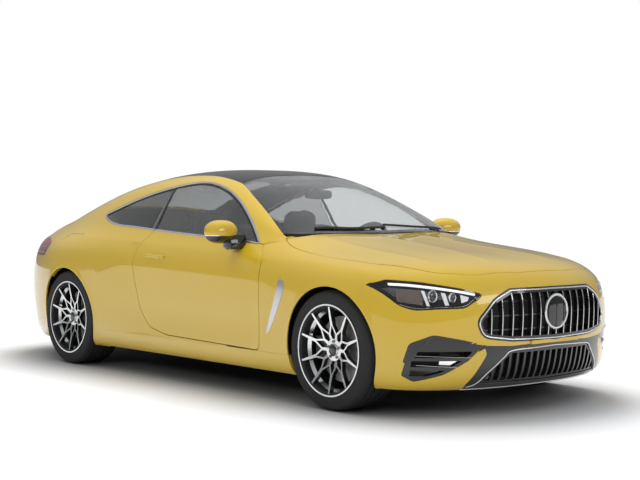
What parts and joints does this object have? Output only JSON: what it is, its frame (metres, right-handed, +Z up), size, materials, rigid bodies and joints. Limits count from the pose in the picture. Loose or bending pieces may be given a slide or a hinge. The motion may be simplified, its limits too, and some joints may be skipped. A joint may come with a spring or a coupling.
{
  "type": "two-door coupe car",
  "caption": "Low two-door fastback coupe car with hinged doors, bonnet and boot lid, steered front wheels, slatted grille, glass roof and a four-seat cabin.",
  "frame": {"origin": "on the ground, midway between nose and tail, on the centre plane", "axes": "-Y towards the nose, +Z up, +X towards the car's left side"},
  "size_m": [2.1976, 4.855, 1.4009],
  "materials": {
    "body_paint": "glossy warm yellow paint",
    "side_glass": "dark tinted glass",
    "window_glass": "tinted glass",
    "roof_glass": "black glass",
    "lamp_housing": "black and metallised plastic",
    "lamp_glass": "clear",
    "tail_lamp_glass": "red lens plastic",
    "seat_leather": "smooth black leather",
    "black_plastic": "grained",
    "black_gloss": "gloss",
    "structure_metal": "dark primer",
    "cast_metal": "as cast",
    "engine_metal": "cast",
    "bright_steel": "brushed",
    "wheel_metal": "machined and lacquered",
    "tyre_rubber": "matt rubber",
    "brake_iron": "ground"
  },
  "bodies": {
    "body": {"dashboard": "black_plastic", "diffuser": "black_plastic", "engine": "engine_metal", "exhaust": "bright_steel", "fender_blades": "wheel_metal", "floor": "structure_metal", "front_arch_liners": "black_plastic", "front_axle": "cast_metal", "front_bumper": "body_paint", "front_fenders": "body_paint", "front_seats": "seat_leather", "front_structure": "structure_metal", "grille": "black_gloss", "headlamp_lenses": "lamp_glass", "headlamps": "lamp_housing", "intakes": "black_plastic", "quarter_glass": "side_glass", "rear_arch_liners": "black_plastic", "rear_axle": "cast_metal", "rear_bench": "seat_leather", "rear_bumper": "body_paint", "rear_structure": "structure_metal", "rear_window": "window_glass", "roof_panel": "roof_glass", "side_frame_left": "body_paint", "side_frame_right": "body_paint", "side_skirts": "body_paint", "tail_lamps": "tail_lamp_glass", "windscreen": "window_glass"},
    "door_left": {"door_left": "body_paint", "door_glass_left": "side_glass", "mirror_left": "body_paint"},
    "door_right": {"door_right": "body_paint", "door_glass_right": "side_glass", "mirror_right": "body_paint"},
    "bonnet": {"bonnet": "body_paint"},
    "boot_lid": {"boot_lid": "body_paint"},
    "steering_wheel": {"steering_wheel": "seat_leather"},
    "knuckle_left": {"knuckle_left": "cast_metal"},
    "knuckle_right": {"knuckle_right": "cast_metal"},
    "wheel_front_left": {"rim_front_left": "wheel_metal", "tyre_front_left": "tyre_rubber", "disc_front_left": "brake_iron"},
    "wheel_front_right": {"rim_front_right": "wheel_metal", "tyre_front_right": "tyre_rubber", "disc_front_right": "brake_iron"},
    "wheel_rear_left": {"rim_rear_left": "wheel_metal", "tyre_rear_left": "tyre_rubber", "disc_rear_left": "brake_iron"},
    "wheel_rear_right": {"rim_rear_right": "wheel_metal", "tyre_rear_right": "tyre_rubber", "disc_rear_right": "brake_iron"}
  },
  "joints": [
    {"name": "door_left_swing", "type": "hinge", "parent": "body", "child": "door_left", "pos_m": [0.895, -0.855, 0.594], "axis": [0, 0, -1], "range_deg": [0, 65]},
    {"name": "door_right_swing", "type": "hinge", "parent": "body", "child": "door_right", "pos_m": [-0.895, -0.855, 0.594], "axis": [0, 0, 1], "range_deg": [0, 65]},
    {"name": "bonnet_lift", "type": "hinge", "parent": "body", "child": "bonnet", "pos_m": [0, -0.925, 0.945], "axis": [-1, 0, 0], "range_deg": [0, 45]},
    {"name": "boot_lid_lift", "type": "hinge", "parent": "body", "child": "boot_lid", "pos_m": [0, 1.5, 1.075], "axis": [1, 0, 0], "range_deg": [0, 75]},
    {"name": "steer_left", "type": "hinge", "parent": "body", "child": "knuckle_left", "pos_m": [0.772, -1.564, 0.34], "axis": [0, 0, 1], "range_deg": [-35, 35]},
    {"name": "steer_right", "type": "hinge", "parent": "body", "child": "knuckle_right", "pos_m": [-0.772, -1.564, 0.34], "axis": [0, 0, 1], "range_deg": [-35, 35]},
    {"name": "steering_wheel_turn", "type": "hinge", "parent": "body", "child": "steering_wheel", "pos_m": [0.37, -0.47, 0.86], "axis": [0, 0.9063, 0.4226], "range_deg": [-500, 500]},
    {"name": "wheel_front_left_spin", "type": "hinge", "parent": "knuckle_left", "child": "wheel_front_left", "pos_m": [0.804, -1.564, 0.34], "axis": [1, 0, 0], "continuous": true},
    {"name": "wheel_front_right_spin", "type": "hinge", "parent": "knuckle_right", "child": "wheel_front_right", "pos_m": [-0.804, -1.564, 0.34], "axis": [1, 0, 0], "continuous": true},
    {"name": "wheel_rear_left_spin", "type": "hinge", "parent": "body", "child": "wheel_rear_left", "pos_m": [0.804, 1.311, 0.34], "axis": [1, 0, 0], "continuous": true},
    {"name": "wheel_rear_right_spin", "type": "hinge", "parent": "body", "child": "wheel_rear_right", "pos_m": [-0.804, 1.311, 0.34], "axis": [1, 0, 0], "continuous": true}
  ],
  "couplings": [
    {"joint": "steer_right", "follows": "steer_left", "ratio": 1},
    {"joint": "steering_wheel_turn", "follows": "steer_left", "ratio": 14}
  ]
}
